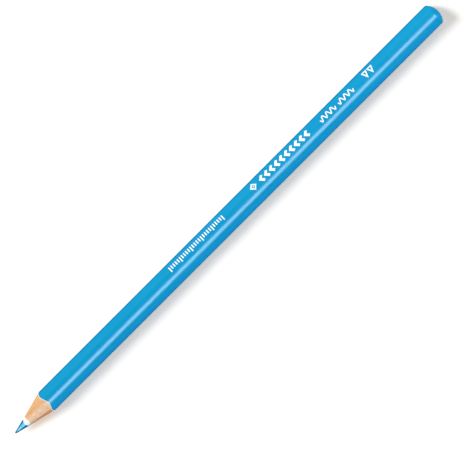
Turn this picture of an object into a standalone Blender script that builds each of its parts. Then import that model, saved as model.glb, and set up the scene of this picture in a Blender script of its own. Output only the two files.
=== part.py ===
"""Triangular colouring pencil, bonded together from separate layers.

The pencil lies along X on one of its three flats, with its point towards +X
and a rounded ridge on top. Every piece is modelled in the pencil's own frame,
which has Z along the axis towards the point and X towards the flat below, and
is hung on one empty that lays the pencil down.
"""
from math import asin, atan2, cos, pi, radians, sin, sqrt

import bmesh
import bpy

MM = 0.001

# Overall size
LENGTH = 175.0 * MM
CORNERS = 3
CORNER_TURN = 2 * pi / CORNERS   # from one ridge to the next, round the axis
CORNER_OFFSET = 1.45 * MM        # axis to the centre of each corner's rounding
CORNER_RADIUS = 2.34 * MM
CORNER_STEPS = 8
FLAT_DISTANCE = CORNER_OFFSET * cos(CORNER_TURN / 2) + CORNER_RADIUS
RIDGE_DISTANCE = CORNER_OFFSET + CORNER_RADIUS
FLAT_HALF_WIDTH = CORNER_OFFSET * sin(CORNER_TURN / 2)

# Layers on the wood, measured inwards from the outside
COLOUR_THICKNESS = 0.06 * MM
PRIMER_THICKNESS = 0.04 * MM
PRINT_THICKNESS = 0.02 * MM
BOND_GAP = 0.01 * MM
PRIMER_DEPTH = COLOUR_THICKNESS + BOND_GAP
WOOD_DEPTH = PRIMER_DEPTH + PRIMER_THICKNESS + BOND_GAP

# Core
CORE_RADIUS = 1.35 * MM
COAT_RADIUS = 1.55 * MM
GROOVE_RADIUS = COAT_RADIUS + BOND_GAP
GLUE_THICKNESS = 0.03 * MM
SLAT_GAP = GLUE_THICKNESS + 2 * BOND_GAP
FILM_START = 0.8 * GROOVE_RADIUS # glue stock starts in the groove, which trims it

# Sharpened end: distances back from the point
POINT_RADIUS = 0.30 * MM
POINT_SLOPE = 0.2506             # radius gained for each unit of length
APEX_AHEAD = POINT_RADIUS * (sqrt(1 + POINT_SLOPE ** 2) / POINT_SLOPE - 1)
LIP_AT_FLAT = 12.80 * MM
LIP_AT_RIDGE = 13.75 * MM
LIP_SHARPNESS = 1.4              # how pointed the paint's edge is at the ridges
ROUND_UNTIL = 5.25 * MM          # the point's cone is round up to here
CONE_STEPS = 8
POINT_STEPS = 4

# Rear end
DOME_RADIUS = 5.24 * MM
CAP_THICKNESS = 0.35 * MM
CAP_GAP = 0.04 * MM
CAP_DEPTH = 2.6 * MM             # length of the stock that the cap is cut from
INNER_DOME_RADIUS = DOME_RADIUS - CAP_THICKNESS
STOCK_DOME_RADIUS = INNER_DOME_RADIUS - CAP_GAP
DOME_REACH = RIDGE_DISTANCE + 0.3 * MM
DOME_STEPS = 8
REAR_STEPS = 3

TURNED_STEPS = 48
SHARP_ANGLE = radians(35)        # faces that meet more steeply keep a hard edge
MERGE_DISTANCE = 0.0005 * MM
CLEAR = 5.5 * MM                 # a radius outside the whole pencil
OVERRUN = 1.0 * MM               # how far a cutter runs past what it cuts
TIP_Z = LENGTH / 2
REAR_Z = -LENGTH / 2
DOME_CENTRE_Z = REAR_Z + DOME_RADIUS

# Printed marks on the side that faces -Y: distance back from the point to the
# start and the end, then the lower and upper edge across the face
PRINT_TURN = -CORNER_TURN / 4    # from -Y to the middle of the printed side
PRINT_MARKS = {
    "print_small_row": (65.8 * MM, 87.8 * MM, -0.40 * MM, 2.15 * MM),
    "print_emblem": (99.0 * MM, 101.6 * MM, -0.75 * MM, 2.50 * MM),
    "print_bold_row": (102.8 * MM, 123.3 * MM, -0.70 * MM, 2.50 * MM),
    "print_light_row": (127.6 * MM, 141.4 * MM, -0.15 * MM, 2.50 * MM),
    "print_end_pair": (145.8 * MM, 149.9 * MM, -0.70 * MM, 2.50 * MM),
}


def new_collection(name):
    """Make an empty collection of this name and link it to the scene."""
    collection = bpy.data.collections.get(name) or bpy.data.collections.new(name)
    if name not in bpy.context.scene.collection.children:
        bpy.context.scene.collection.children.link(collection)
    return collection


def finish_material(name, colour, roughness):
    """A Principled material with one colour."""
    material = bpy.data.materials.new(name)
    material.use_nodes = True
    shader = material.node_tree.nodes["Principled BSDF"]
    shader.inputs["Base Color"].default_value = (*colour, 1.0)
    shader.inputs["Roughness"].default_value = roughness
    material.diffuse_color = (*colour, 1.0)
    return material


def add_object(name, mesh, collection, axis):
    """Hang a mesh on the pencil's axis as an object of the collection."""
    item = bpy.data.objects.new(name, mesh)
    collection.objects.link(item)
    item.parent = axis
    return item


def as_cutter(item):
    """Mark an object as a guide that is not part of the pencil."""
    item.hide_render = True
    item.display_type = "WIRE"
    return item


def boolean(item, cutter, operation):
    """Cut or trim an object with another one."""
    modifier = item.modifiers.new(f"{operation.lower()}_{cutter.name}", "BOOLEAN")
    modifier.object = cutter
    modifier.operation = operation
    modifier.solver = "EXACT"


def triangle_outline(depth):
    """Rounded triangle, set inwards by depth, as points across the axis."""
    points = []
    for corner in range(CORNERS):
        middle = pi + CORNER_TURN * corner
        centre_x = CORNER_OFFSET * cos(middle)
        centre_y = CORNER_OFFSET * sin(middle)
        for step in range(CORNER_STEPS + 1):
            angle = middle + CORNER_TURN * (step / CORNER_STEPS - 0.5)
            radius = CORNER_RADIUS - depth
            points.append((centre_x + radius * cos(angle), centre_y + radius * sin(angle)))
    return points


def angle_from_ridge(angle):
    """How far a direction round the axis is from the nearest ridge."""
    return abs((angle - pi + CORNER_TURN / 2) % CORNER_TURN - CORNER_TURN / 2)


def body_radius(angle):
    """Distance from the axis to the outside of the body in one direction."""
    from_ridge = angle_from_ridge(angle)
    from_flat = CORNER_TURN / 2 - from_ridge
    if from_flat < atan2(FLAT_HALF_WIDTH, FLAT_DISTANCE):
        return FLAT_DISTANCE / cos(from_flat)
    across = CORNER_OFFSET * sin(from_ridge)
    return CORNER_OFFSET * cos(from_ridge) + sqrt(CORNER_RADIUS ** 2 - across ** 2)


def sharpened_radius(back, angle):
    """Radius of the sharpened wood, at a distance back from the point.

    The cone is round at the core and takes on the body's soft triangle towards
    the paint, so the paint ends in three shallow waves.
    """
    ridge_share = (1 - angle_from_ridge(angle) / (CORNER_TURN / 2)) ** LIP_SHARPNESS
    lip = LIP_AT_FLAT + (LIP_AT_RIDGE - LIP_AT_FLAT) * ridge_share
    lip_slope = body_radius(angle) / (lip + APEX_AHEAD)
    share = min(max((back - ROUND_UNTIL) / (LIP_AT_FLAT - ROUND_UNTIL), 0.0), 1.0)
    eased = share * share * (3 - 2 * share)
    slope = POINT_SLOPE + (lip_slope - POINT_SLOPE) * eased
    return slope * (back + APEX_AHEAD)


def prism(name, depths, z_low, z_high, collection, axis):
    """Straight stock with the body's section, hollow if two depths are given."""
    outline = bpy.data.curves.new(name, "CURVE")
    outline.dimensions = "2D"
    outline.fill_mode = "BOTH"
    outline.extrude = (z_high - z_low) / 2
    for depth in depths:
        points = triangle_outline(depth)
        spline = outline.splines.new("POLY")
        spline.points.add(len(points) - 1)
        for point, (x, y) in zip(spline.points, points):
            point.co = (x, y, 0.0, 1.0)
        spline.use_cyclic_u = True
    guide = bpy.data.objects.new(name, outline)
    bpy.context.scene.collection.objects.link(guide)
    evaluated = guide.evaluated_get(bpy.context.evaluated_depsgraph_get())
    mesh = bpy.data.meshes.new_from_object(evaluated)
    bpy.data.objects.remove(guide)
    bpy.data.curves.remove(outline)
    shape = bmesh.new()
    shape.from_mesh(mesh)
    bmesh.ops.remove_doubles(shape, verts=shape.verts, dist=MERGE_DISTANCE)
    bmesh.ops.translate(shape, verts=shape.verts, vec=(0.0, 0.0, (z_low + z_high) / 2))
    bmesh.ops.recalc_face_normals(shape, faces=shape.faces)
    shape.to_mesh(mesh)
    shape.free()
    mesh.name = name
    return add_object(name, mesh, collection, axis)


def block(name, size, centre, turn, collection, axis):
    """Rectangular block, turned about the axis after it is moved."""
    shape = bmesh.new()
    bmesh.ops.create_cube(shape, size=1.0)
    bmesh.ops.scale(shape, vec=size, verts=shape.verts)
    bmesh.ops.translate(shape, vec=centre, verts=shape.verts)
    mesh = bpy.data.meshes.new(name)
    shape.to_mesh(mesh)
    shape.free()
    item = add_object(name, mesh, collection, axis)
    item.rotation_euler = (0.0, 0.0, turn)
    return item


def turned(name, profile, closed, collection, axis):
    """Turn a profile of (radius, z) points about the axis."""
    shape = bmesh.new()
    verts = [shape.verts.new((radius, 0.0, z)) for radius, z in profile]
    for first, second in zip(verts, verts[1:]):
        shape.edges.new((first, second))
    if closed:
        shape.edges.new((verts[-1], verts[0]))
    mesh = bpy.data.meshes.new(name)
    shape.to_mesh(mesh)
    shape.free()
    item = add_object(name, mesh, collection, axis)
    screw = item.modifiers.new("turn", "SCREW")
    screw.axis = "Z"
    screw.angle = 2 * pi
    screw.steps = TURNED_STEPS
    screw.render_steps = TURNED_STEPS
    screw.use_merge_vertices = True
    screw.merge_threshold = MERGE_DISTANCE
    screw.use_smooth_shade = True
    return item


def loft(name, rings, collection, axis):
    """Closed solid through rings of points, listed from the point to the rear."""
    shape = bmesh.new()
    loops = [[shape.verts.new(point) for point in ring] for ring in rings]
    count = len(rings[0])
    for front, back in zip(loops, loops[1:]):
        for step in range(count):
            after = (step + 1) % count
            shape.faces.new((front[step], back[step], back[after], front[after]))
    shape.faces.new(loops[0])
    shape.faces.new(list(reversed(loops[-1])))
    bmesh.ops.recalc_face_normals(shape, faces=shape.faces)
    mesh = bpy.data.meshes.new(name)
    shape.to_mesh(mesh)
    shape.free()
    return add_object(name, mesh, collection, axis)


def ring(radius_at, z):
    """One ring of a loft, its radius given for each direction."""
    points = []
    for step in range(TURNED_STEPS):
        angle = 2 * pi * step / TURNED_STEPS
        radius = radius_at(angle)
        points.append((radius * cos(angle), radius * sin(angle), z))
    return points


def dome_z(radius, dome_radius):
    """Height of the rear dome's surface at a distance from the axis."""
    return DOME_CENTRE_Z - sqrt(dome_radius ** 2 - radius ** 2)


def dome_radii(dome_radius):
    """Radii of a dome's rings, from just outside the ridges almost to the axis."""
    steepest = asin(DOME_REACH / dome_radius)
    return [dome_radius * sin(steepest * (1 - step / DOME_STEPS)) for step in range(DOME_STEPS)]


def inner_envelope(collection, axis):
    """Everything in front of the cap's inner dome and behind the sharpened cone."""
    rings = []
    cone_end = LIP_AT_RIDGE + OVERRUN
    cone_start = ROUND_UNTIL - OVERRUN
    for step in range(CONE_STEPS + 1):
        back = cone_start + (cone_end - cone_start) * step / CONE_STEPS
        rings.append(ring(lambda angle: sharpened_radius(back, angle), TIP_Z - back))
    rings.append(ring(lambda angle: CLEAR, TIP_Z - cone_end - OVERRUN))
    rings.append(ring(lambda angle: CLEAR, dome_z(DOME_REACH, STOCK_DOME_RADIUS) + OVERRUN))
    for radius in dome_radii(STOCK_DOME_RADIUS):
        rings.append(ring(lambda angle: radius, dome_z(radius, STOCK_DOME_RADIUS)))
    return as_cutter(loft("inner_envelope", rings, collection, axis))


def dome_cutter(name, dome_radius, collection, axis):
    """Turned solid, wider than the pencil, whose rear end is a dome."""
    top = DOME_CENTRE_Z + CAP_DEPTH
    rim = dome_z(DOME_REACH, dome_radius) + OVERRUN
    profile = [(0.0, top), (CLEAR, top), (CLEAR, rim)]
    for radius in dome_radii(dome_radius):
        profile.append((radius, dome_z(radius, dome_radius)))
    profile.append((0.0, dome_z(0.0, dome_radius)))
    return as_cutter(turned(name, profile, False, collection, axis))


def cone_back(radius):
    """Distance back from the point at which the round cone has this radius."""
    return radius / POINT_SLOPE - APEX_AHEAD


def rear_arc(outer, inner):
    """Profile points of a bonded piece's rear end, from its outside inwards."""
    points = []
    for step in range(REAR_STEPS + 1):
        radius = outer + (inner - outer) * step / REAR_STEPS
        points.append((radius, dome_z(radius, STOCK_DOME_RADIUS)))
    return points


def make_core(collection, axis):
    """Pigment core: a rod with a worn, rounded point."""
    lean = atan2(1.0, POINT_SLOPE)
    profile = []
    for step in range(POINT_STEPS + 1):
        angle = lean * step / POINT_STEPS
        profile.append((POINT_RADIUS * sin(angle), TIP_Z - POINT_RADIUS * (1 - cos(angle))))
    profile.append((CORE_RADIUS, TIP_Z - cone_back(CORE_RADIUS)))
    profile.extend(rear_arc(CORE_RADIUS, 0.0))
    return turned("pigment_core", profile, False, collection, axis)


def make_core_coat(collection, axis):
    """White coat bonded round the core, cut to the same cone."""
    inside = CORE_RADIUS + BOND_GAP
    profile = [
        (inside, TIP_Z - cone_back(inside)),
        (COAT_RADIUS, TIP_Z - cone_back(COAT_RADIUS)),
    ]
    profile.extend(rear_arc(COAT_RADIUS, inside))
    return turned("core_coat", profile, True, collection, axis)


def make_slat(name, side, groove, envelope, collection, cutters, axis):
    """One grooved half of the wood, on the given side of the glue plane."""
    slat = prism(name, (WOOD_DEPTH,), REAR_Z, TIP_Z, collection, axis)
    size = (CLEAR, 2 * CLEAR, LENGTH + 2 * CLEAR)
    centre = (side * (CLEAR / 2 - SLAT_GAP / 2), 0.0, 0.0)
    waste = as_cutter(block(f"{name}_waste", size, centre, 0.0, cutters, axis))
    boolean(slat, waste, "DIFFERENCE")
    boolean(slat, groove, "DIFFERENCE")
    boolean(slat, envelope, "INTERSECT")
    return slat


def make_glue_film(name, side, groove, envelope, stock, collection, axis):
    """Glue between the slats, on one side of the core."""
    size = (GLUE_THICKNESS, CLEAR - FILM_START, LENGTH + 2 * CLEAR)
    centre = (0.0, side * (CLEAR + FILM_START) / 2, 0.0)
    film = block(name, size, centre, 0.0, collection, axis)
    boolean(film, stock, "INTERSECT")
    boolean(film, envelope, "INTERSECT")
    boolean(film, groove, "DIFFERENCE")
    return film


def make_print(name, marks, collection, cutters, axis):
    """Thin printed patch that follows the side facing -Y."""
    start, end, lower, upper = marks
    z_low = TIP_Z - end
    z_high = TIP_Z - start
    patch = prism(name, (-BOND_GAP - PRINT_THICKNESS, -BOND_GAP), z_low, z_high, collection, axis)
    size = (upper - lower, CLEAR, z_high - z_low + OVERRUN)
    centre = (-(lower + upper) / 2, -CLEAR / 2 - OVERRUN, (z_low + z_high) / 2)
    window = as_cutter(block(f"{name}_window", size, centre, PRINT_TURN, cutters, axis))
    boolean(patch, window, "INTERSECT")
    return patch


def shade(item, material):
    """Give an object its material and smooth its round faces."""
    item.data.materials.clear()
    item.data.materials.append(material)
    item.data.shade_smooth()
    item.data.set_sharp_from_angle(angle=SHARP_ANGLE)


def build():
    """Model every piece of the pencil."""
    for item in list(bpy.data.objects):
        bpy.data.objects.remove(item)
    pencil = new_collection("colouring_pencil")
    cutters = new_collection("colouring_pencil_cutters")

    axis = bpy.data.objects.new("pencil_axis", None)
    pencil.objects.link(axis)
    axis.location = (0.0, 0.0, FLAT_DISTANCE)
    axis.rotation_euler = (0.0, radians(90), 0.0)

    lacquer = finish_material("blue_lacquer", (0.004, 0.34, 0.62), 0.28)
    primer_paint = finish_material("white_primer", (0.85, 0.84, 0.80), 0.55)
    wood = finish_material("light_wood", (0.86, 0.60, 0.38), 0.60)
    glue = finish_material("wood_glue", (0.72, 0.52, 0.30), 0.40)
    wax = finish_material("blue_wax_core", (0.02, 0.28, 0.46), 0.38)
    core_paint = finish_material("white_core_coat", (0.88, 0.88, 0.86), 0.50)
    foil = finish_material("white_print", (0.92, 0.95, 0.96), 0.35)

    envelope = inner_envelope(cutters, axis)
    groove_ends = [
        (0.0, TIP_Z + OVERRUN),
        (GROOVE_RADIUS, TIP_Z + OVERRUN),
        (GROOVE_RADIUS, REAR_Z - OVERRUN),
        (0.0, REAR_Z - OVERRUN),
    ]
    groove = as_cutter(turned("core_groove", groove_ends, False, cutters, axis))
    wood_stock = as_cutter(prism("wood_stock", (WOOD_DEPTH,), REAR_Z, TIP_Z, cutters, axis))

    shade(make_core(pencil, axis), wax)
    shade(make_core_coat(pencil, axis), core_paint)
    for name, side in (("upper_slat", 1), ("lower_slat", -1)):
        shade(make_slat(name, side, groove, envelope, pencil, cutters, axis), wood)
    for name, side in (("glue_film_front", -1), ("glue_film_back", 1)):
        shade(make_glue_film(name, side, groove, envelope, wood_stock, pencil, axis), glue)

    primer_depths = (PRIMER_DEPTH, PRIMER_DEPTH + PRIMER_THICKNESS)
    primer = prism("primer_coat", primer_depths, REAR_Z, TIP_Z, pencil, axis)
    boolean(primer, envelope, "INTERSECT")
    shade(primer, primer_paint)
    colour = prism("colour_coat", (0.0, COLOUR_THICKNESS), REAR_Z, TIP_Z, pencil, axis)
    boolean(colour, envelope, "INTERSECT")
    shade(colour, lacquer)

    cap = prism("end_cap", (0.0,), REAR_Z, REAR_Z + CAP_DEPTH, pencil, axis)
    outer_dome = dome_cutter("outer_dome", DOME_RADIUS, cutters, axis)
    inner_dome = dome_cutter("inner_dome", INNER_DOME_RADIUS, cutters, axis)
    boolean(cap, outer_dome, "INTERSECT")
    boolean(cap, inner_dome, "DIFFERENCE")
    shade(cap, lacquer)

    for name, marks in PRINT_MARKS.items():
        shade(make_print(name, marks, pencil, cutters, axis), foil)


build()
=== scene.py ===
"""Looks of the triangular coloured pencil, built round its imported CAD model."""
from math import asin, atan2, cos, hypot, pi, radians, sin, sqrt, tan

import bmesh
import bpy
from mathutils import Matrix, Vector, noise


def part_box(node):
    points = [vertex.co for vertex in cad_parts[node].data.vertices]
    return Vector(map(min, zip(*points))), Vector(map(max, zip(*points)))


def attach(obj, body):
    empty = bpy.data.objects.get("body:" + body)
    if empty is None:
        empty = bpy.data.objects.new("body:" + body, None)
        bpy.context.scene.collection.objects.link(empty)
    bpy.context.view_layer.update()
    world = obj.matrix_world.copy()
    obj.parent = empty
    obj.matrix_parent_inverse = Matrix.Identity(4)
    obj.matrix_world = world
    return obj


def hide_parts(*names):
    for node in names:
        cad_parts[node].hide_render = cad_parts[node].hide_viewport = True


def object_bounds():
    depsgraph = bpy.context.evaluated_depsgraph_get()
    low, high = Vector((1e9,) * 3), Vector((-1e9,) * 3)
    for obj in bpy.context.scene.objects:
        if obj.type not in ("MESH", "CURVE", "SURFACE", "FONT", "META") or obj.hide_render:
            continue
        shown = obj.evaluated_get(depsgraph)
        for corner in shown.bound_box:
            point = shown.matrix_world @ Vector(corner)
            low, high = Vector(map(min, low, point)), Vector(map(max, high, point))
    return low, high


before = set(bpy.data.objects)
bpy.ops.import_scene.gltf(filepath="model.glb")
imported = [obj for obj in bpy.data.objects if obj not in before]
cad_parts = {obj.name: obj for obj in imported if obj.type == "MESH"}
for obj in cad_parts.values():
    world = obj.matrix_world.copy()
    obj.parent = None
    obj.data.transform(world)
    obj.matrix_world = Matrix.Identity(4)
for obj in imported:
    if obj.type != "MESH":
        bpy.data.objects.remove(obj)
cad_low, cad_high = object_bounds()

MM = 0.001

# ---------------------------------------------------------------------------
# The section and the ends, read from the CAD boxes
# ---------------------------------------------------------------------------
# The outline is three arcs joined by flats, one arc up. With the arcs' centres
# CORNER_OFFSET from the axis, it is sqrt(3) * CORNER_OFFSET + 2 * CORNER_RADIUS
# wide and 1.5 * CORNER_OFFSET + 2 * CORNER_RADIUS high.
coat_low, coat_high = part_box("colour_coat")
WIDTH = coat_high.y - coat_low.y
HEIGHT = coat_high.z - coat_low.z
CORNERS = 3
CORNER_TURN = radians(120)       # from one ridge to the next, round the axis
CORNER_OFFSET = (WIDTH - HEIGHT) / (sqrt(3) - 1.5)
CORNER_RADIUS = (HEIGHT - 1.5 * CORNER_OFFSET) / 2
FLAT_DISTANCE = CORNER_OFFSET / 2 + CORNER_RADIUS
FLAT_HALF_WIDTH = CORNER_OFFSET * sin(CORNER_TURN / 2)
AXIS_Z = FLAT_DISTANCE
TIP_X = cad_high.x
REAR_X = cad_low.x

# Depths below the outside, and gaps between pieces that are stuck together
COLOUR_DEPTH = 0.06 * MM
PRIMER_DEPTH = 0.07 * MM
PRIMER_INSIDE = 0.11 * MM
WOOD_DEPTH = 0.145 * MM
BOND_GAP = 0.01 * MM
SLAT_HALF_GAP = 0.025 * MM

# How far the cut edges of the paint wander, and with which noise
COLOUR_RAGGED = 0.05 * MM
PRIMER_RAGGED = 0.03 * MM
COARSE_WANDER = 9.0              # how many features from the axis to the edge
FINE_WANDER = 31.0
FINE_WANDER_ROW = 4.0            # where in the noise the fine wander is taken
FINE_WANDER_SHARE = 0.5

# Sharpened end
CORE_RADIUS = (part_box("pigment_core")[1].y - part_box("pigment_core")[0].y) / 2
COAT_RADIUS = (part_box("core_coat")[1].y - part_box("core_coat")[0].y) / 2
SMEAR_LENGTH = 0.62 * MM         # how far the core's coat is dragged over the core
SMEAR_MIDDLE = radians(97)       # the side with the longest smear
SMEAR_LIFT = 0.012 * MM          # how far the coat stands above the cone
SMEAR_EDGE = 0.05 * MM           # length over which the smear thins out
SMEAR_OVERLAP = 0.01 * MM        # how far it reaches over the core where it is shortest
COAT_UNDERCUT = 0.02 * MM        # how far the coat's inside starts behind its edge
WOOD_EDGE = 0.004 * MM           # keeps the wood's front edge off the groove
POINT_RADIUS = 0.30 * MM
POINT_SLOPE = 0.2506             # radius gained for each unit of length
APEX_AHEAD = POINT_RADIUS * (sqrt(1 + POINT_SLOPE ** 2) / POINT_SLOPE - 1)
LIP_AT_FLAT = 12.80 * MM         # where the body starts, back from the point
LIP_AT_RIDGE = 13.75 * MM
LIP_SHARPNESS = 1.4              # how pointed the paint's edge is at the ridges
ROUND_UNTIL = 5.25 * MM          # the cone is round up to here
CONE_LIMIT = 20 * MM             # further back than the cone reaches
HALVINGS = 40                    # of the search in cone_back

# Rear end
DOME_RADIUS = 5.24 * MM
CAP_THICKNESS = 0.36 * MM
STOCK_DOME_RADIUS = DOME_RADIUS - CAP_THICKNESS    # rear end of all that the cap covers
CAP_EDGE_ROUND = 0.72 * MM       # radius of the cap's rounded rim
DOME_CENTRE_X = REAR_X + DOME_RADIUS

# Mesh steps
CORNER_STEPS = 30
FLAT_STEPS = 6
TURN_STEPS = 128
SLEEVE_STATIONS = [0.0, 0.3 * MM, 1.2 * MM, 4.0 * MM, 12.0 * MM]    # back from its front edge
DOME_RINGS = 16
RIM_RINGS = 8
INNER_DOME_RINGS = 9
CONE_RINGS = 24
POINT_RINGS = 12
REAR_RINGS = 6
COAT_RINGS = 4
SOFT_EDGE = 30.0                 # degrees; faces that meet more steeply look sharp
CAP_SOFT_EDGE = 25.0
PAINT_SOFT_EDGE = 8.0


# ---------------------------------------------------------------------------
# Shape of the body and of the cone
# ---------------------------------------------------------------------------
def angle_from_ridge(angle):
    """How far a direction round the axis is from the nearest ridge."""
    return abs((angle - pi / 2 + CORNER_TURN / 2) % CORNER_TURN - CORNER_TURN / 2)


def body_radius(angle):
    """Distance from the axis to the body's outside, in one direction round it."""
    from_ridge = angle_from_ridge(angle)
    from_flat = CORNER_TURN / 2 - from_ridge
    if from_flat < atan2(FLAT_HALF_WIDTH, FLAT_DISTANCE):
        return FLAT_DISTANCE / cos(from_flat)
    across = CORNER_OFFSET * sin(from_ridge)
    return CORNER_OFFSET * cos(from_ridge) + sqrt(CORNER_RADIUS ** 2 - across ** 2)


def cone_radius(back, angle):
    """Radius of the sharpened cone at a distance back from the point.

    It is round at the core and takes on the body's section towards the paint.
    """
    ridge_share = (1 - angle_from_ridge(angle) / (CORNER_TURN / 2)) ** LIP_SHARPNESS
    lip = LIP_AT_FLAT + (LIP_AT_RIDGE - LIP_AT_FLAT) * ridge_share
    lip_slope = body_radius(angle) / (lip + APEX_AHEAD)
    share = min(max((back - ROUND_UNTIL) / (LIP_AT_FLAT - ROUND_UNTIL), 0.0), 1.0)
    eased = share * share * (3 - 2 * share)
    slope = POINT_SLOPE + (lip_slope - POINT_SLOPE) * eased
    return slope * (back + APEX_AHEAD)


def cone_back(radius, angle):
    """Distance back from the point at which the cone reaches a radius."""
    low = 0.0
    high = CONE_LIMIT
    for _ in range(HALVINGS):
        middle = (low + high) / 2
        if cone_radius(middle, angle) < radius:
            low = middle
        else:
            high = middle
    return (low + high) / 2


def dome_x(radius, dome_radius):
    """Where the rear dome's surface is, at a distance from the axis."""
    return DOME_CENTRE_X - sqrt(dome_radius ** 2 - radius ** 2)


def cap_round_centre(body):
    """Centre (x, radius) of the cap's rounded rim, where the body has this radius."""
    radius = body - CAP_EDGE_ROUND
    return DOME_CENTRE_X - sqrt((DOME_RADIUS - CAP_EDGE_ROUND) ** 2 - radius ** 2), radius


def cap_front_x(body):
    """Where the end cap stops and the lacquer coat starts."""
    return max(dome_x(body, STOCK_DOME_RADIUS), cap_round_centre(body)[0] + BOND_GAP)


def section(depth):
    """The body's outline, set inwards by depth, as (angle, radius) round the axis."""
    points = []
    for corner in range(CORNERS):
        middle = radians(90) + CORNER_TURN * corner
        centre = Vector((cos(middle), sin(middle))) * CORNER_OFFSET
        for step in range(CORNER_STEPS + 1):
            normal = middle + CORNER_TURN * (step / CORNER_STEPS - 0.5)
            points.append(centre + Vector((cos(normal), sin(normal))) * (CORNER_RADIUS - depth))
        after = middle + CORNER_TURN / 2
        face = Vector((cos(after), sin(after))) * (FLAT_DISTANCE - depth)
        along = Vector((-sin(after), cos(after)))
        for step in range(1, FLAT_STEPS):
            points.append(face + along * FLAT_HALF_WIDTH * (2 * step / FLAT_STEPS - 1))
    return [(atan2(p.y, p.x), p.length) for p in points]


def at(x, angle, radius, lift=0.0):
    """A point in space from its place along the axis and round it."""
    return (x, radius * cos(angle), AXIS_Z + radius * sin(angle) + lift)


# ---------------------------------------------------------------------------
# Mesh helpers
# ---------------------------------------------------------------------------
def mesh_object(name, verts, faces, sharp=SOFT_EDGE):
    """Object from points and faces, with its faces turned outwards and smooth."""
    mesh = bpy.data.meshes.new(name)
    mesh.from_pydata(verts, [], faces)
    shape = bmesh.new()
    shape.from_mesh(mesh)
    bmesh.ops.recalc_face_normals(shape, faces=shape.faces)
    shape.to_mesh(mesh)
    shape.free()
    mesh.shade_smooth()
    mesh.set_sharp_from_angle(angle=radians(sharp))
    item = bpy.data.objects.new(name, mesh)
    bpy.context.scene.collection.objects.link(item)
    return item


def swept_loops(name, loops, closed_round, sharp=SOFT_EDGE):
    """Solid swept round the axis from radial loops of points.

    With closed_round the sweep meets itself; without it, the first and last
    loops are filled as flat ends.
    """
    count = len(loops[0])
    verts = [point for loop in loops for point in loop]
    faces = []
    spans = len(loops) if closed_round else len(loops) - 1
    for turn in range(spans):
        first = turn * count
        second = ((turn + 1) % len(loops)) * count
        for step in range(count):
            after = (step + 1) % count
            faces.append((first + step, first + after, second + after, second + step))
    if not closed_round:
        faces.append(tuple(range(count)))
        faces.append(tuple(range((len(loops) - 1) * count, len(loops) * count)))
    return mesh_object(name, verts, faces, sharp)


def capped_sweep(name, strips, sharp=SOFT_EDGE):
    """Solid from strips that all start and end on the axis."""
    inner = len(strips[0]) - 2
    verts = [strips[0][0], strips[0][-1]]
    for strip in strips:
        verts.extend(strip[1:-1])
    faces = []
    for turn in range(len(strips)):
        first = 2 + turn * inner
        second = 2 + ((turn + 1) % len(strips)) * inner
        faces.append((0, first, second))
        for step in range(inner - 1):
            faces.append((first + step, first + step + 1, second + step + 1, second + step))
        faces.append((1, second + inner - 1, first + inner - 1))
    return mesh_object(name, verts, faces, sharp)


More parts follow.
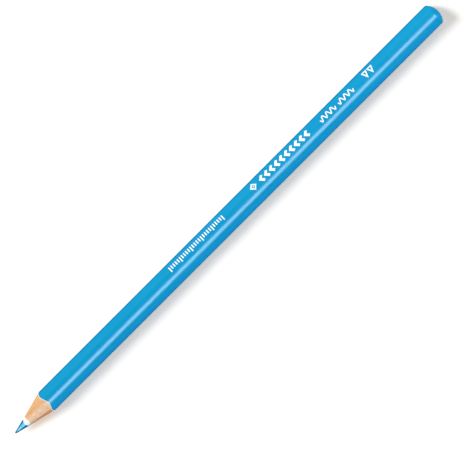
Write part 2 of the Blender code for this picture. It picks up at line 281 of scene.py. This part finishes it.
# ---------------------------------------------------------------------------
# Material helpers
# ---------------------------------------------------------------------------
class Nodes:
    """Short names for building a node tree round one Principled shader."""

    def __init__(self, name):
        self.material = bpy.data.materials.new(name)
        self.material.use_nodes = True
        self.tree = self.material.node_tree
        self.shader = self.tree.nodes["Principled BSDF"]
        self.place = self.add("ShaderNodeTexCoord").outputs["Object"]

    def add(self, kind, **settings):
        """A new node with these settings."""
        node = self.tree.nodes.new(kind)
        for key, value in settings.items():
            setattr(node, key, value)
        return node

    def link(self, output, socket):
        """Feed one node's output into another's socket."""
        self.tree.links.new(output, socket)

    def stretched(self, scale, rotation=(0.0, 0.0, 0.0)):
        """Object coordinates, scaled so that one unit is one feature."""
        mapping = self.add("ShaderNodeMapping")
        mapping.inputs["Scale"].default_value = scale
        mapping.inputs["Rotation"].default_value = rotation
        self.link(self.place, mapping.inputs["Vector"])
        return mapping.outputs["Vector"]

    def noise(self, scale, detail=3.0, roughness=0.55, rotation=(0.0, 0.0, 0.0)):
        """Noise with this many features to the metre, along each axis."""
        texture = self.add("ShaderNodeTexNoise")
        texture.inputs["Scale"].default_value = 1.0
        texture.inputs["Detail"].default_value = detail
        texture.inputs["Roughness"].default_value = roughness
        self.link(self.stretched(scale, rotation), texture.inputs["Vector"])
        return texture.outputs["Fac"]

    def ramp(self, value, stops):
        """Colours at places between 0 and 1."""
        ramp = self.add("ShaderNodeValToRGB")
        elements = ramp.color_ramp.elements
        while len(elements) < len(stops):
            elements.new(0.5)
        for element, (place, colour) in zip(elements, stops):
            element.position = place
            element.color = (*colour, 1.0)
        self.link(value, ramp.inputs["Fac"])
        return ramp.outputs["Color"]

    def spread(self, value, low, high):
        """A 0 to 1 value, spread between two others."""
        spread = self.add("ShaderNodeMapRange")
        spread.inputs["To Min"].default_value = low
        spread.inputs["To Max"].default_value = high
        self.link(value, spread.inputs["Value"])
        return spread.outputs["Result"]

    def reach(self, direction, start, end):
        """0 to 1, smoothly, between two distances along a direction."""
        along = self.add("ShaderNodeVectorMath", operation="DOT_PRODUCT")
        along.inputs[1].default_value = direction
        self.link(self.place, along.inputs[0])
        share = self.add("ShaderNodeMapRange", interpolation_type="SMOOTHSTEP")
        share.inputs["From Min"].default_value = start
        share.inputs["From Max"].default_value = end
        self.link(along.outputs["Value"], share.inputs["Value"])
        return share.outputs["Result"]

    def round_reach(self, middle, start, end):
        """0 to 1, smoothly, between two angles from a direction round the axis."""
        flat = self.add("ShaderNodeMapping")
        flat.inputs["Location"].default_value = (0.0, 0.0, -AXIS_Z)
        flat.inputs["Scale"].default_value = (0.0, 1.0, 1.0)
        self.link(self.place, flat.inputs["Vector"])
        outwards = self.add("ShaderNodeVectorMath", operation="NORMALIZE")
        self.link(flat.outputs["Vector"], outwards.inputs[0])
        facing = self.add("ShaderNodeVectorMath", operation="DOT_PRODUCT")
        facing.inputs[1].default_value = (0.0, cos(middle), sin(middle))
        self.link(outwards.outputs["Vector"], facing.inputs[0])
        share = self.add("ShaderNodeMapRange", interpolation_type="SMOOTHSTEP")
        share.inputs["From Min"].default_value = cos(start)
        share.inputs["From Max"].default_value = cos(end)
        self.link(facing.outputs["Value"], share.inputs["Value"])
        return share.outputs["Result"]

    def mix(self, share, first, second, blend="MIX"):
        """The first colour, with a fixed or varying share of the second."""
        node = self.add("ShaderNodeMix", data_type="RGBA", blend_type=blend)
        if isinstance(share, float):
            node.inputs["Factor"].default_value = share
        else:
            self.link(share, node.inputs["Factor"])
        colour_inputs = [socket for socket in node.inputs if socket.type == "RGBA"]
        for socket, colour in zip(colour_inputs, (first, second)):
            self.link(colour, socket)
        return [socket for socket in node.outputs if socket.type == "RGBA"][0]

    def bump(self, height, distance, below=None):
        """Surface relief from a height, on top of other relief."""
        node = self.add("ShaderNodeBump")
        node.inputs["Strength"].default_value = 1.0
        node.inputs["Distance"].default_value = distance
        self.link(height, node.inputs["Height"])
        if below is not None:
            self.link(below, node.inputs["Normal"])
        return node.outputs["Normal"]

    def finish(self, colour=None, roughness=None, normal=None, **constants):
        """Connect what varies, and set what doesn't."""
        if colour is not None:
            self.link(colour, self.shader.inputs["Base Color"])
        if roughness is not None:
            self.link(roughness, self.shader.inputs["Roughness"])
        if normal is not None:
            self.link(normal, self.shader.inputs["Normal"])
        for key, value in constants.items():
            self.shader.inputs[key.replace("_", " ")].default_value = value
        return self.material


def lacquer_material():
    """Smooth blue lacquer, with faint clouding and a slight orange peel.

    It is painted deeper in colour along the two lower corners, as painted shade.
    """
    n = Nodes("blue_lacquer")
    cloud = n.noise((60.0, 400.0, 400.0), detail=2.0)
    # The lacquer's own blue, then a darker copy of it as painted shade along the two lower corners
    light = n.ramp(cloud, [(0.30, (0.0010, 0.288, 0.555)), (0.70, (0.0015, 0.312, 0.585))])
    shaded_blue = n.ramp(cloud, [(0.30, (0.0005, 0.190, 0.370)), (0.70, (0.0008, 0.206, 0.390))])
    corner_shade_mask = n.round_reach(radians(98), radians(67), radians(97))
    colour = n.mix(corner_shade_mask, light, shaded_blue)
    peel = n.noise((900.0, 1500.0, 1500.0), detail=2.0)
    drawn = n.noise((40.0, 3000.0, 3000.0), detail=2.0)
    relief = n.bump(drawn, 0.0007 * MM)
    relief = n.bump(peel, 0.0015 * MM, below=relief)
    rough = n.spread(cloud, 0.20, 0.24)
    return n.finish(colour, rough, relief, Specular_IOR_Level=0.25)


def primer_material():
    """Matt off-white primer."""
    n = Nodes("white_primer")
    grain = n.noise((3000.0, 3000.0, 3000.0))
    colour = n.ramp(grain, [(0.3, (0.80, 0.74, 0.62)), (0.7, (0.88, 0.84, 0.75))])
    return n.finish(colour, None, n.bump(grain, 0.002 * MM), Roughness=0.6,
                    Specular_IOR_Level=0.25)


def wood_material():
    """Pale fine-grained wood, cut across its fibres by the sharpener.

    Streaks run along the pencil. The cone is painted with shade: amber towards -Y
    and brown towards +Y, darker towards both sides than along its middle.
    """
    n = Nodes("light_wood")
    tilt = (radians(24), 0.0, 0.0)
    bands = n.noise((60.0, 900.0, 1900.0), detail=3.0, rotation=tilt)
    fibres = n.noise((90.0, 5200.0, 5200.0), detail=4.0, roughness=0.65)
    pale = n.ramp(bands, [
        (0.36, (0.82, 0.520, 0.250)),
        (0.47, (0.93, 0.640, 0.400)),
        (0.54, (0.90, 0.520, 0.350)),
        (0.64, (0.95, 0.690, 0.450)),
    ])
    # Painted shade: darker copies of the wood's colour, amber for the -Y side and brown for the +Y
    # side
    amber = n.ramp(bands, [
        (0.36, (0.66, 0.370, 0.150)),
        (0.47, (0.77, 0.440, 0.210)),
        (0.54, (0.80, 0.420, 0.230)),
        (0.64, (0.74, 0.440, 0.180)),
    ])
    brown = n.ramp(bands, [
        (0.36, (0.44, 0.150, 0.040)),
        (0.50, (0.64, 0.220, 0.055)),
        (0.64, (0.52, 0.225, 0.070)),
    ])
    amber_shade_mask = n.reach((0.0, -1.0, 0.0), 0.40 * MM, 1.50 * MM)
    base = n.mix(amber_shade_mask, pale, amber)
    taper = 0.12                 # the brown comes nearer to the axis towards the point
    side = taper * TIP_X
    brown_shade_mask = n.reach((taper, 1.0, 0.0), side + 0.02 * MM, side + 0.85 * MM)
    base = n.mix(brown_shade_mask, base, brown)
    streaks = n.ramp(fibres, [(0.30, (0.80, 0.74, 0.66)), (0.60, (1.0, 1.0, 1.0))])
    colour = n.mix(0.55, base, streaks, "MULTIPLY")
    cuts = n.noise((6500.0, 700.0, 700.0), detail=2.0)
    relief = n.bump(fibres, 0.010 * MM)
    relief = n.bump(cuts, 0.006 * MM, below=relief)
    rough = n.spread(fibres, 0.55, 0.75)
    return n.finish(colour, rough, relief, Specular_IOR_Level=0.15)


def glue_material():
    """Dried glue line between the wood halves."""
    n = Nodes("wood_glue")
    blots = n.noise((800.0, 3000.0, 3000.0))
    colour = n.ramp(blots, [(0.3, (0.50, 0.32, 0.16)), (0.7, (0.66, 0.45, 0.25))])
    return n.finish(colour, n.spread(blots, 0.35, 0.5), n.bump(blots, 0.003 * MM))


def core_material():
    """Waxy blue core, cut by the sharpener, with painted light on top.

    A lit copy of its blue is painted on top and a darker, shaded copy on the sides. The point
    itself keeps the shaded copy.
    """
    n = Nodes("blue_wax_core")
    grains = n.noise((5000.0, 5000.0, 5000.0), detail=3.0)
    turns = n.noise((7000.0, 500.0, 500.0), detail=2.0)
    # Painted light and shade: a shaded and a lit copy of the core's blue
    shaded_core_blue = n.ramp(grains, [(0.30, (0.001, 0.110, 0.230)), (0.70, (0.004, 0.190, 0.340))])
    lit_core_blue = n.ramp(grains, [(0.30, (0.070, 0.560, 0.880)), (0.70, (0.150, 0.680, 0.960))])
    top_light_mask = n.round_reach(radians(105), radians(40), radians(13))
    lit_and_shaded_core = n.mix(top_light_mask, shaded_core_blue, lit_core_blue)
    # Near the point only the shaded copy is painted
    behind_point = n.reach((1.0, 0.0, 0.0), TIP_X - 0.5 * MM, TIP_X - 1.5 * MM)
    colour = n.mix(behind_point, shaded_core_blue, lit_and_shaded_core)
    relief = n.bump(grains, 0.002 * MM)
    relief = n.bump(turns, 0.002 * MM, below=relief)
    return n.finish(colour, n.spread(turns, 0.16, 0.24), relief, Specular_IOR_Level=0.2)


def core_coat_material():
    """Chalky white coat round the core, painted grey-blue towards +Y as painted shade."""
    n = Nodes("white_core_coat")
    grains = n.noise((6000.0, 4000.0, 4000.0))
    white = n.ramp(grains, [(0.3, (0.86, 0.87, 0.87)), (0.7, (0.95, 0.96, 0.96))])
    # Painted shade: a grey-blue copy of the coat for its +Y side
    shaded_grey_blue = n.ramp(grains, [(0.3, (0.08, 0.20, 0.30)), (0.7, (0.24, 0.36, 0.46))])
    coat_shade_mask = n.reach((0.0, 1.0, 0.0), 0.70 * MM, 1.25 * MM)
    colour = n.mix(coat_shade_mask, white, shaded_grey_blue)
    return n.finish(colour, n.spread(grains, 0.5, 0.6), n.bump(grains, 0.004 * MM),
                    Specular_IOR_Level=0.25)


def foil_material():
    """White stamped foil, thinner and less even at fine scale."""
    n = Nodes("white_print")
    wear = n.noise((2500.0, 2500.0, 2500.0), detail=4.0)
    colour = n.ramp(wear, [(0.25, (0.72, 0.86, 0.94)), (0.55, (0.93, 0.96, 0.97))])
    return n.finish(colour, n.spread(wear, 0.3, 0.42), n.bump(wear, 0.002 * MM),
                    Specular_IOR_Level=0.25)


def floor_material():
    """Plain white paper, which glows a little so that no shadow on it is deep."""
    n = Nodes("floor_white")
    tone = n.noise((3.0, 3.0, 3.0), detail=1.0)
    colour = n.ramp(tone, [(0.3, (0.86, 0.86, 0.86)), (0.7, (0.87, 0.87, 0.87))])
    return n.finish(colour, None, None, Roughness=1.0, Specular_IOR_Level=0.0,
                    Emission_Color=FLOOR_GLOW, Emission_Strength=FLOOR_GLOW_STRENGTH)


# ---------------------------------------------------------------------------
# The pencil's pieces
# ---------------------------------------------------------------------------
def place(item, material, slot, *nodes):
    """Give a piece its material and tie it to the CAD nodes that it stands for."""
    item.data.materials.append(material)
    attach(item, "root")
    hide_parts(*nodes)


def sleeve(name, outside, inside, ragged):
    """A coat on the wood: cut to the cone in front and to the dome behind.

    The cut edge wanders by the ragged amount, as a real paint edge does.
    """
    loops = []
    for (angle, outer), (inner_angle, inner) in zip(section(outside), section(inside)):
        coarse = Vector((cos(angle) * COARSE_WANDER, sin(angle) * COARSE_WANDER, outside / MM))
        fine = Vector((cos(angle) * FINE_WANDER, sin(angle) * FINE_WANDER, FINE_WANDER_ROW))
        shift = ragged * (noise.noise(coarse) + FINE_WANDER_SHARE * noise.noise(fine))
        front_x = TIP_X - cone_back(outer, angle) - shift
        inner_x = TIP_X - cone_back(inner, inner_angle) - shift
        rear_x = cap_front_x(outer)
        loop = [at(inner_x, inner_angle, inner)]
        loop += [at(front_x - station, angle, outer) for station in SLEEVE_STATIONS]
        middle = (front_x - SLEEVE_STATIONS[-1] + rear_x) / 2
        loop += [at(middle, angle, outer), at(rear_x, angle, outer)]
        loop.append(at(dome_x(inner, STOCK_DOME_RADIUS), inner_angle, inner))
        loop.append(at(middle, inner_angle, inner))
        loops.append(loop)
    return swept_loops(name, loops, True, PAINT_SOFT_EDGE)


def end_dome():
    """Domed, dipped end with a softly rounded rim."""
    inner_dome = STOCK_DOME_RADIUS + BOND_GAP
    strips = []
    for angle, body in section(0.0):
        centre_x, centre_r = cap_round_centre(body)
        lean = asin(centre_r / (DOME_RADIUS - CAP_EDGE_ROUND))
        strip = []
        for step in range(DOME_RINGS + 1):
            radius = DOME_RADIUS * sin(lean * step / DOME_RINGS)
            strip.append(at(dome_x(radius, DOME_RADIUS), angle, radius))
        for step in range(1, RIM_RINGS + 1):
            turn = lean + (pi / 2 - lean) * step / RIM_RINGS
            x = centre_x - CAP_EDGE_ROUND * cos(turn)
            strip.append(at(x, angle, centre_r + CAP_EDGE_ROUND * sin(turn)))
        strip.append(at(cap_front_x(body), angle, body))
        for step in reversed(range(INNER_DOME_RINGS)):
            radius = body * step / INNER_DOME_RINGS
            strip.append(at(dome_x(radius, inner_dome), angle, radius))
        strips.append(strip)
    return capped_sweep("end_dome", strips, CAP_SOFT_EDGE)


def wood_half(name, side):
    """One grooved half of the wood, sharpened in front, from rim to glue plane."""
    groove = COAT_RADIUS + BOND_GAP
    lift = side * SLAT_HALF_GAP
    steps = TURN_STEPS // 2
    loops = []
    for step in range(steps + 1):
        angle = pi * step / steps
        if side < 0:
            angle += pi
        outer = body_radius(angle) - WOOD_DEPTH
        start = cone_back(groove + WOOD_EDGE, angle)
        end = cone_back(outer, angle)
        loop = []
        for ring in range(CONE_RINGS + 1):
            back = start + (end - start) * ring / CONE_RINGS
            radius = cone_radius(back, angle)
            loop.append(at(TIP_X - back, angle, radius, lift))
        rear_x = dome_x(outer, STOCK_DOME_RADIUS)
        middle = (TIP_X - end + rear_x) / 2
        loop.append(at(middle, angle, outer, lift))
        loop.append(at(rear_x, angle, outer, lift))
        loop.append(at(dome_x(groove, STOCK_DOME_RADIUS), angle, groove, lift))
        loop.append(at(middle, angle, groove, lift))
        loop.append(at(TIP_X - start, angle, groove, lift))
        loops.append(loop)
    return swept_loops(name, loops, False)


def core_jacket():
    """White coat round the core, dragged a little over the core on the upper side."""
    inner = CORE_RADIUS + BOND_GAP
    loops = []
    for step in range(TURN_STEPS):
        angle = 2 * pi * step / TURN_STEPS
        smear = SMEAR_LENGTH * max(0.0, cos(angle - SMEAR_MIDDLE)) ** 2
        front = cone_back(inner, angle) - smear - SMEAR_OVERLAP
        full = front + SMEAR_EDGE
        loop = [
            at(TIP_X - front, angle, cone_radius(front, angle) + SMEAR_LIFT / 3),
            at(TIP_X - full, angle, cone_radius(full, angle) + SMEAR_LIFT),
        ]
        for ring in range(COAT_RINGS + 1):
            radius = inner + (COAT_RADIUS - inner) * ring / COAT_RINGS
            lift = SMEAR_LIFT * (1 - ring / COAT_RINGS)
            loop.append(at(TIP_X - cone_back(radius, angle), angle, radius + lift))
        loop.append(at(dome_x(COAT_RADIUS, STOCK_DOME_RADIUS), angle, COAT_RADIUS))
        loop.append(at(dome_x(inner, STOCK_DOME_RADIUS), angle, inner))
        loop.append(at(TIP_X - cone_back(inner, angle) - COAT_UNDERCUT, angle, inner))
        loops.append(loop)
    return swept_loops("core_jacket", loops, True)


def core_rod():
    """Pigment core with its cone and a worn, rounded point."""
    lean = atan2(1.0, POINT_SLOPE)
    tangent = POINT_RADIUS * sin(lean)
    strips = []
    for step in range(TURN_STEPS):
        angle = 2 * pi * step / TURN_STEPS
        strip = []
        for ring in range(POINT_RINGS + 1):
            turn = lean * ring / POINT_RINGS
            radius = POINT_RADIUS * sin(turn)
            strip.append(at(TIP_X - POINT_RADIUS * (1 - cos(turn)), angle, radius))
        for ring in range(1, CONE_RINGS + 1):
            radius = tangent + (CORE_RADIUS - tangent) * ring / CONE_RINGS
            strip.append(at(TIP_X - cone_back(radius, angle), angle, radius))
        for ring in range(REAR_RINGS + 1):
            radius = CORE_RADIUS * (1 - ring / REAR_RINGS)
            strip.append(at(dome_x(radius, STOCK_DOME_RADIUS), angle, radius))
        strips.append(strip)
    return capped_sweep("core_rod", strips)


# ---------------------------------------------------------------------------
# Plain stamped marks on the side that faces -Y
# ---------------------------------------------------------------------------
PRINT_NORMAL = radians(150)      # which way the printed side faces, round the axis
MARK_UNDER = 0.008 * MM          # the foil's underside and top, above the lacquer
MARK_TOP = 0.026 * MM
MARK_STEP = 0.22 * MM            # straight runs are cut into pieces of one to two of these
MITRE_LIMIT = 0.5                # stops a sharp bend from reaching out too far
STROKE_EDGES = 4                 # edges that run along a stroke
DOT_STEPS = 16
WAVE_STEPS = 112


def on_side(back, across, lift):
    """A point over the printed side: across runs from its middle to the ridge."""
    past_flat = abs(across) - FLAT_HALF_WIDTH
    if past_flat <= 0:
        up_side = PRINT_NORMAL - pi / 2
        y = (FLAT_DISTANCE + lift) * cos(PRINT_NORMAL) + across * cos(up_side)
        z = (FLAT_DISTANCE + lift) * sin(PRINT_NORMAL) + across * sin(up_side)
        return (TIP_X - back, y, AXIS_Z + z)
    way = -1 if across > 0 else 1
    corner = PRINT_NORMAL + way * CORNER_TURN / 2
    normal = PRINT_NORMAL + way * past_flat / CORNER_RADIUS
    y = CORNER_OFFSET * cos(corner) + (CORNER_RADIUS + lift) * cos(normal)
    z = CORNER_OFFSET * sin(corner) + (CORNER_RADIUS + lift) * sin(normal)
    return (TIP_X - back, y, AXIS_Z + z)


def dense(path, closed):
    """The path with extra points, so that a stroke follows the curved side."""
    ends = path[1:] + ([path[0]] if closed else [])
    points = []
    for (x0, y0), (x1, y1) in zip(path, ends):
        pieces = max(1, int(hypot(x1 - x0, y1 - y0) / MARK_STEP))
        for step in range(pieces):
            share = step / pieces
            points.append((x0 + (x1 - x0) * share, y0 + (y1 - y0) * share))
    if not closed:
        points.append(path[-1])
    return points


class Marks:
    """Collects flat strokes and dots of foil as closed thin solids."""

    def __init__(self):
        self.verts = []
        self.faces = []

    def stroke(self, path, width, closed=False):
        """A line of even width along a path, mitred where it bends."""
        points = [Vector(point) for point in dense(path, closed)]
        first = len(self.verts)
        count = len(points)
        for index, point in enumerate(points):
            before = points[index - 1] if index or closed else None
            after = points[(index + 1) % count] if index < count - 1 or closed else None
            sides = []
            if before is not None:
                run = (point - before).normalized()
                sides.append(Vector((-run.y, run.x)))
            if after is not None:
                run = (after - point).normalized()
                sides.append(Vector((-run.y, run.x)))
            side = sum(sides, Vector((0.0, 0.0))).normalized()
            reach = width / 2 / max(MITRE_LIMIT, side.dot(sides[0]))
            left = point + side * reach
            right = point - side * reach
            for edge, lift in ((left, MARK_TOP), (right, MARK_TOP), (right, MARK_UNDER),
                               (left, MARK_UNDER)):
                self.verts.append(on_side(edge.x, edge.y, lift))
        spans = count if closed else count - 1
        for span in range(spans):
            start = first + STROKE_EDGES * span
            end = first + STROKE_EDGES * ((span + 1) % count)
            for step in range(STROKE_EDGES):
                after = (step + 1) % STROKE_EDGES
                self.faces.append((start + step, start + after, end + after, end + step))
        if not closed:
            last = first + STROKE_EDGES * (count - 1)
            self.faces.append(tuple(range(first, first + STROKE_EDGES)))
            self.faces.append(tuple(range(last, last + STROKE_EDGES)))

    def dot(self, back, across, radius):
        """A round dot."""
        top = len(self.verts)
        under = top + DOT_STEPS + 1
        for lift in (MARK_TOP, MARK_UNDER):
            self.verts.append(on_side(back, across, lift))
            for step in range(DOT_STEPS):
                angle = 2 * pi * step / DOT_STEPS
                self.verts.append(on_side(back + radius * cos(angle),
                                          across + radius * sin(angle), lift))
        for step in range(DOT_STEPS):
            after = (step + 1) % DOT_STEPS
            self.faces.append((top, top + 1 + step, top + 1 + after))
            self.faces.append((under, under + 1 + step, under + 1 + after))
            self.faces.append((top + 1 + step, top + 1 + after, under + 1 + after,
                               under + 1 + step))

    def piece(self, name):
        """All that was collected, as one object."""
        return mesh_object(name, self.verts, self.faces)


def node_span(node):
    """How far back from the point a printed node starts and ends."""
    low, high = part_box(node)
    return TIP_X - high.x, TIP_X - low.x


def tick_row():
    """A fine row of upright ticks, every fifth one taller."""
    start, end = node_span("print_small_row")
    marks = Marks()
    count = 26
    tall_every = 5
    width = 0.36 * MM
    low = -0.30 * MM
    short = 1.45 * MM
    tall = 2.12 * MM
    pitch = (end - start - width) / (count - 1)
    for index in range(count):
        back = start + width / 2 + pitch * index
        high = short if index % tall_every else tall
        marks.stroke([(back, low), (back, high)], width)
    return marks.piece("tick_row")


def diamond_mark():
    """An open diamond with a dot in it."""
    start, end = node_span("print_emblem")
    marks = Marks()
    middle = (start + end) / 2
    stroke = 0.46 * MM
    margin = 0.7 * stroke
    half = (end - start) / 2 - margin
    rise = 1.28 * MM
    centre = 0.90 * MM
    dot_radius = 0.26 * MM
    path = [(middle - half, centre), (middle, centre + rise), (middle + half, centre),
            (middle, centre - rise)]
    marks.stroke(path, stroke, closed=True)
    marks.dot(middle, centre, dot_radius)
    return marks.piece("diamond_mark")


def chevron_row():
    """Bold chevrons that point towards the sharpened end."""
    start, end = node_span("print_bold_row")
    marks = Marks()
    count = 10
    stroke = 0.86 * MM
    depth = 0.95 * MM
    low = -0.36 * MM
    high = 2.22 * MM
    front_margin = 0.6 * stroke
    rear_margin = 0.65 * stroke
    pitch = (end - start - depth - front_margin - rear_margin) / (count - 1)
    for index in range(count):
        back = start + front_margin + pitch * index
        path = [(back + depth, low), (back, (low + high) / 2), (back + depth, high)]
        marks.stroke(path, stroke)
    return marks.piece("chevron_row")


def wave_row():
    """Two runs of a thin wavy line."""
    start, end = node_span("print_light_row")
    marks = Marks()
    stroke = 0.34 * MM
    gap = 1.3 * MM
    middle = 1.20 * MM
    rise = 1.05 * MM
    waves = 3.5
    run = (end - start - gap - stroke) / 2
    for first in (start + stroke / 2, start + stroke / 2 + run + gap):
        path = []
        for step in range(WAVE_STEPS + 1):
            share = step / WAVE_STEPS
            path.append((first + run * share, middle + rise * sin(2 * pi * waves * share)))
        marks.stroke(path, stroke)
    return marks.piece("wave_row")


def triangle_pair():
    """Two small open triangles."""
    start, end = node_span("print_end_pair")
    marks = Marks()
    stroke = 0.40 * MM
    margin = 0.6 * stroke
    half = 0.74 * MM
    low = -0.42 * MM
    high = 2.15 * MM
    for middle in (start + margin + half, end - margin - half):
        path = [(middle - half, low), (middle + half, low), (middle, high)]
        marks.stroke(path, stroke, closed=True)
    return marks.piece("triangle_pair")


# ---------------------------------------------------------------------------
# Floor, lights and camera
# ---------------------------------------------------------------------------
VIEW_TILT = radians(10)          # the camera leans this far from straight above
PICTURE_WIDTH = 136.2 * MM       # what the picture spans at the pencil
AIM_BACK = 88.1 * MM             # the picture's centre: back from the point,
AIM_ACROSS = 1.85 * MM           # and across the pencil
LENS = 600.0                     # lens and sensor in Blender's millimetres
SENSOR = 36.0

FLOOR_HALF = 6.0
FLOOR_GLOW = (1.0, 0.92, 0.82, 1.0)
FLOOR_GLOW_STRENGTH = 0.385
BACKDROP_RADIUS = 9.0
SURROUND_STRENGTH = 0.32

SOFT_DISTANCE = 1.2              # of the pencil's key and fill
SOFT_POWER = 12.0
KEY_DIRECTION = (-0.25, -0.70, 0.66)
KEY_SIZE = (0.6, 0.6)
FILL_DIRECTION = (-0.30, 0.92, 0.24)
FILL_SIZE = (0.8, 0.4)
FILL_COLOUR = (0.62, 0.82, 1.0)

SUN_DIRECTION = (0.85, -1.0, 1.0)    # the sun shines on the floor only
SUN_STRENGTH = 3.3
SUN_ANGLE = radians(24)

GLOSS_LEAN = radians(6)          # the strips lean this far towards +Y
GLOSS_REACHES = [radians(reach) for reach in (8, 16, 24, 34)]    # half-widths, seen from the pencil
GLOSS_DISTANCE = 0.7
GLOSS_DISTANCE_STEP = 0.01
GLOSS_LENGTH = 3.0
GLOSS_RADIANCE = 4.2             # of each strip


def area_light(name, direction, distance, size, power, aim, colour=(1.0, 1.0, 1.0)):
    """Soft light that shines on the aim from a direction, its width roughly along X."""
    data = bpy.data.lights.new(name, "AREA")
    data.shape = "RECTANGLE"
    data.size, data.size_y = size
    data.energy = power
    data.color = colour
    light = bpy.data.objects.new(name, data)
    bpy.context.scene.collection.objects.link(light)
    away = Vector(direction).normalized()
    light.location = Vector(aim) + away * distance
    light.rotation_euler = away.to_track_quat("Z", "Y").to_euler()
    light.visible_camera = False
    return light


def make_floor():
    """Wide plain floor under the pencil."""
    half = FLOOR_HALF
    verts = [(-half, -half, 0.0), (half, -half, 0.0), (half, half, 0.0), (-half, half, 0.0)]
    mesh = bpy.data.meshes.new("floor")
    mesh.from_pydata(verts, [], [(0, 1, 2, 3)])
    floor = bpy.data.objects.new("floor", mesh)
    bpy.context.scene.collection.objects.link(floor)
    mesh.materials.append(floor_material())
    floor.visible_glossy = False
    return floor


def make_backdrop():
    """Pale surround that only the camera sees, beyond the floor."""
    shape = bmesh.new()
    bmesh.ops.create_uvsphere(shape, u_segments=48, v_segments=24, radius=BACKDROP_RADIUS)
    mesh = bpy.data.meshes.new("backdrop")
    shape.to_mesh(mesh)
    shape.free()
    backdrop = bpy.data.objects.new("backdrop", mesh)
    bpy.context.scene.collection.objects.link(backdrop)
    pale = Nodes("backdrop_white")
    mesh.materials.append(pale.finish(
        Base_Color=(0.0, 0.0, 0.0, 1.0), Roughness=1.0, Specular_IOR_Level=0.0,
        Emission_Color=(1.0, 1.0, 1.0, 1.0), Emission_Strength=1.0))
    backdrop.visible_diffuse = False
    backdrop.visible_glossy = False
    backdrop.visible_transmission = False
    backdrop.visible_volume_scatter = False
    backdrop.visible_shadow = False


def make_lights(floor):
    """Even surround, soft lights that only the pencil gets, and a sun for the floor only."""
    middle = (0.0, 0.0, AXIS_Z)
    floor_only = bpy.data.collections.new("floor_only")
    floor_only.objects.link(floor)
    all_but_floor = bpy.data.collections.new("all_but_floor")
    all_but_floor.objects.link(floor)
    all_but_floor.collection_objects[0].light_linking.link_state = "EXCLUDE"

    key = area_light("key", KEY_DIRECTION, SOFT_DISTANCE, KEY_SIZE, SOFT_POWER, middle)
    fill = area_light("fill", FILL_DIRECTION, SOFT_DISTANCE, FILL_SIZE, SOFT_POWER, middle,
                      FILL_COLOUR)
    for light in (key, fill):
        light.visible_glossy = False
        light.light_linking.receiver_collection = all_but_floor

    # The gloss comes from long strips, one over the other, that fade out sideways
    overhead = (0.0, sin(GLOSS_LEAN), cos(GLOSS_LEAN))
    for index, reach in enumerate(GLOSS_REACHES):
        distance = GLOSS_DISTANCE + GLOSS_DISTANCE_STEP * index
        width = 2 * distance * tan(reach)
        power = pi * GLOSS_RADIANCE * GLOSS_LENGTH * width
        strip = area_light(f"gloss_strip_{index}", overhead, distance, (GLOSS_LENGTH, width),
                           power, middle)
        strip.visible_diffuse = False
        strip.light_linking.receiver_collection = all_but_floor

    sun = bpy.data.lights.new("floor_key", "SUN")
    sun.energy = SUN_STRENGTH
    sun.angle = SUN_ANGLE
    floor_key = bpy.data.objects.new("floor_key", sun)
    bpy.context.scene.collection.objects.link(floor_key)
    floor_key.rotation_euler = Vector(SUN_DIRECTION).to_track_quat("Z", "Y").to_euler()
    floor_key.light_linking.receiver_collection = floor_only

    world = bpy.data.worlds.new("surround")
    world.use_nodes = True
    background = world.node_tree.nodes["Background"]
    background.inputs["Color"].default_value = (1.0, 1.0, 1.0, 1.0)
    background.inputs["Strength"].default_value = SURROUND_STRENGTH
    world.cycles_visibility.glossy = False
    bpy.context.scene.world = world


def make_camera():
    """Camera almost straight above, turned so that the pencil lies diagonally."""
    backward = Vector((0.0, -sin(VIEW_TILT), cos(VIEW_TILT)))
    along = Vector((-1.0, 0.0, 0.0))
    across = along.cross(backward)
    right = (along + across).normalized()
    up = (along - across).normalized()
    data = bpy.data.cameras.new("camera")
    data.lens = LENS
    data.sensor_width = SENSOR
    data.clip_end = 50.0
    camera = bpy.data.objects.new("camera", data)
    bpy.context.scene.collection.objects.link(camera)
    aim = Vector((TIP_X, 0.0, AXIS_Z)) + along * AIM_BACK + across * AIM_ACROSS
    distance = LENS / SENSOR * PICTURE_WIDTH
    turn = Matrix((right, up, backward)).transposed().to_4x4()
    camera.matrix_world = Matrix.Translation(aim + backward * distance) @ turn
    bpy.context.scene.camera = camera


# ---------------------------------------------------------------------------
# Build
# ---------------------------------------------------------------------------
make_camera()
make_lights(make_floor())
make_backdrop()
bpy.context.scene.view_settings.view_transform = "Standard"

lacquer = lacquer_material()
primer = primer_material()
wood = wood_material()
glue = glue_material()
foil = foil_material()

place(sleeve("lacquer_coat", 0.0, COLOUR_DEPTH, COLOUR_RAGGED), lacquer, "blue_lacquer",
      "colour_coat")
place(end_dome(), lacquer, "blue_lacquer", "end_cap")
place(sleeve("primer_rim", PRIMER_DEPTH, PRIMER_INSIDE, PRIMER_RAGGED), primer,
      "white_primer", "primer_coat")
place(wood_half("wood_upper", 1), wood, "light_wood", "upper_slat")
place(wood_half("wood_lower", -1), wood, "light_wood", "lower_slat")
place(core_jacket(), core_coat_material(), "white_core_coat", "core_coat")
place(core_rod(), core_material(), "blue_wax_core", "pigment_core")
for film in ("glue_film_front", "glue_film_back"):
    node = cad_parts[film]
    node.data.materials.clear()
    node.data.materials.append(glue)
place(tick_row(), foil, "white_print", "print_small_row")
place(diamond_mark(), foil, "white_print", "print_emblem")
place(chevron_row(), foil, "white_print", "print_bold_row")
place(wave_row(), foil, "white_print", "print_light_row")
place(triangle_pair(), foil, "white_print", "print_end_pair")
